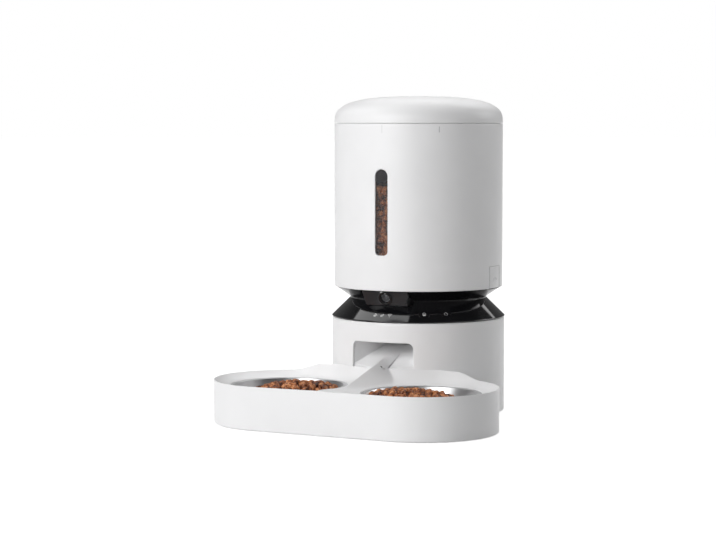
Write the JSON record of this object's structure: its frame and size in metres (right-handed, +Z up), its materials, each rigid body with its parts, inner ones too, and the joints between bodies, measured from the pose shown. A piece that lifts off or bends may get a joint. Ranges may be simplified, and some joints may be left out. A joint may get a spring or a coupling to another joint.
{
  "type": "automatic pet feeder with camera",
  "caption": "Automatic pet feeder: round white base with a camera in its black waist, lift-off food hopper with a window and twist-on lid, and a slide-on tray that holds steel bowls.",
  "frame": {"origin": "on the floor, under the middle of the feeder's outline seen from above; the axis of the round base stands 69.3 mm behind it", "axes": "+Z up; the bowls, the outlet and the camera are in front, towards -Y; the two buttons are towards +X"},
  "size_m": [0.3148, 0.3298, 0.3473],
  "materials": {
    "white_plastic": "satin white moulded plastic",
    "inner_plastic": "light grey moulded plastic, matte",
    "black_gloss": "mirror-gloss black plastic",
    "smoked_window": "clear smoked plastic",
    "lens_glass": "coated lens glass",
    "bowl_steel": "polished stainless steel",
    "spring_steel": "plated steel",
    "bushing_brass": "turned brass",
    "grey_rubber": "soft grey rubber",
    "seal_rubber": "pale silicone rubber",
    "gear_nylon": "natural nylon",
    "vane_rubber": "food-safe silicone rubber",
    "circuit_board": "green solder mask",
    "motor_metal": "zinc-plated steel",
    "light_diffuser": "milky light guide"
  },
  "bodies": {
    "base": {"base_shell": "white_plastic", "base_plate": "inner_plastic", "battery_contact_front": "spring_steel", "battery_contact_rear": "spring_steel", "base_foot_1": "grey_rubber", "base_foot_2": "grey_rubber", "base_foot_3": "grey_rubber", "base_foot_4": "grey_rubber", "plate_screw_1": "spring_steel", "plate_screw_2": "spring_steel", "plate_screw_3": "spring_steel", "plate_screw_4": "spring_steel", "power_socket": "black_gloss", "main_board": "circuit_board", "speaker": "motor_metal", "outlet_chute": "white_plastic", "control_ring": "black_gloss", "waist_cone": "black_gloss", "control_board": "circuit_board", "status_board": "circuit_board", "light_guide": "light_diffuser", "camera_housing": "black_gloss", "lens_bezel": "black_gloss", "lens_glass": "lens_glass", "sensor_board": "circuit_board", "light_sensor": "light_diffuser", "drive_bracket": "inner_plastic", "drive_cover": "inner_plastic", "shaft_bushing": "bushing_brass", "gearmotor": "motor_metal"},
    "battery_door": {"battery_door": "inner_plastic"},
    "output": {"output_gear": "gear_nylon"},
    "pinion": {"drive_pinion": "gear_nylon"},
    "feed_button": {"feed_button": "black_gloss"},
    "network_button": {"network_button": "black_gloss"},
    "hopper": {"hopper_shell": "white_plastic", "window_pane": "smoked_window", "hopper_floor": "inner_plastic"},
    "rotor": {"rotor_hub": "gear_nylon", "rotor_vanes": "vane_rubber"},
    "release_left": {"release_button_left": "white_plastic"},
    "release_right": {"release_button_right": "white_plastic"},
    "lid_ring": {"lid_seal": "seal_rubber"},
    "lid": {"lid_dome": "white_plastic", "lid_liner": "inner_plastic"},
    "desiccant_cap": {"desiccant_cap": "inner_plastic"},
    "tray": {"tray": "white_plastic", "food_divider": "white_plastic", "divider_screw": "spring_steel", "tray_foot_1": "grey_rubber", "tray_foot_2": "grey_rubber", "tray_foot_3": "grey_rubber", "tray_foot_4": "grey_rubber"},
    "bowl_left": {"bowl_left": "bowl_steel"},
    "bowl_right": {"bowl_right": "bowl_steel"}
  },
  "joints": [
    {"name": "hopper_lift", "type": "slide", "parent": "base", "child": "hopper", "axis": [0, 0, 1], "range_m": [0, 0.1]},
    {"name": "output_spin", "type": "hinge", "parent": "base", "child": "output", "pos_m": [0, 0.0693, 0.13], "axis": [0, 0, 1], "continuous": true},
    {"name": "pinion_spin", "type": "hinge", "parent": "base", "child": "pinion", "pos_m": [0, 0.0973, 0.123], "axis": [0, 0, 1], "continuous": true},
    {"name": "rotor_spin", "type": "hinge", "parent": "hopper", "child": "rotor", "pos_m": [0, 0.0693, 0.16], "axis": [0, 0, 1], "continuous": true},
    {"name": "release_press_left", "type": "slide", "parent": "hopper", "child": "release_left", "axis": [1, 0, 0], "range_m": [0, 0.003], "stiffness_N_per_m": 400},
    {"name": "release_press_right", "type": "slide", "parent": "hopper", "child": "release_right", "axis": [-1, 0, 0], "range_m": [0, 0.003], "stiffness_N_per_m": 400},
    {"name": "lid_lift", "type": "slide", "parent": "hopper", "child": "lid_ring", "axis": [0, 0, 1], "range_m": [0, 0.08]},
    {"name": "lid_twist", "type": "hinge", "parent": "lid_ring", "child": "lid", "pos_m": [0, 0.0693, 0.316], "axis": [0, 0, 1], "range_deg": [-40, 0]},
    {"name": "desiccant_pull", "type": "slide", "parent": "lid", "child": "desiccant_cap", "axis": [0, 0, -1], "range_m": [0, 0.02]},
    {"name": "feed_press", "type": "slide", "parent": "base", "child": "feed_button", "axis": [-0.3452, 0.6052, -0.7173], "range_m": [0, 0.0008], "stiffness_N_per_m": 500},
    {"name": "network_press", "type": "slide", "parent": "base", "child": "network_button", "axis": [-0.4944, 0.4909, -0.7173], "range_m": [0, 0.0008], "stiffness_N_per_m": 500},
    {"name": "tray_pull", "type": "slide", "parent": "base", "child": "tray", "axis": [0, -1, 0], "range_m": [0, 0.06]},
    {"name": "bowl_left_lift", "type": "slide", "parent": "tray", "child": "bowl_left", "axis": [0, 0, 1], "range_m": [0, 0.05]},
    {"name": "bowl_right_lift", "type": "slide", "parent": "tray", "child": "bowl_right", "axis": [0, 0, 1], "range_m": [0, 0.05]},
    {"name": "battery_door_pull", "type": "slide", "parent": "base", "child": "battery_door", "axis": [0, 0, -1], "range_m": [0, 0.05]}
  ],
  "couplings": [
    {"joint": "pinion_spin", "follows": "output_spin", "ratio": -3},
    {"joint": "rotor_spin", "follows": "output_spin", "ratio": 1}
  ]
}
